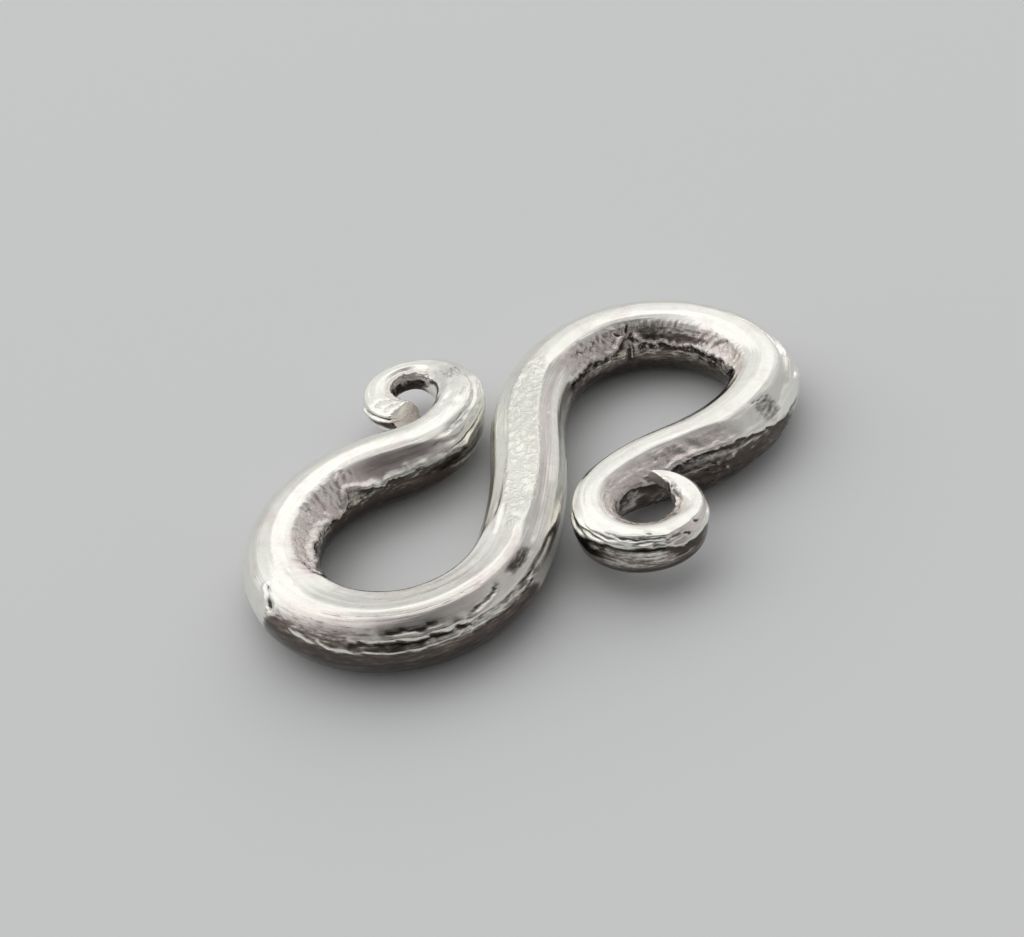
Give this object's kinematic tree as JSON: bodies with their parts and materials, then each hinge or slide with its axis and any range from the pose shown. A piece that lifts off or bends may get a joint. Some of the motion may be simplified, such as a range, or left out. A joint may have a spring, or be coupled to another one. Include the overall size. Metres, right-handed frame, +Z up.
{
  "type": "s-hook clasp",
  "caption": "Hand-forged S-shaped hook clasp of round rod, with a bow at each end whose shank is drawn down and scrolled into a small eye beside the middle bar.",
  "frame": {"origin": "on the surface that the clasp lies on, below the middle of its box", "axes": "+X along the clasp from hook A to hook B, +Y across it, +Z up through the rod's thickness"},
  "size_m": [0.0242, 0.0168, 0.003],
  "materials": {
    "forged_silver": "hand-forged sterling silver, bright polished over hammer marks, with bending wrinkles left in the bows"
  },
  "bodies": {
    "root": {"s_hook": "forged_silver"}
  },
  "joints": []
}
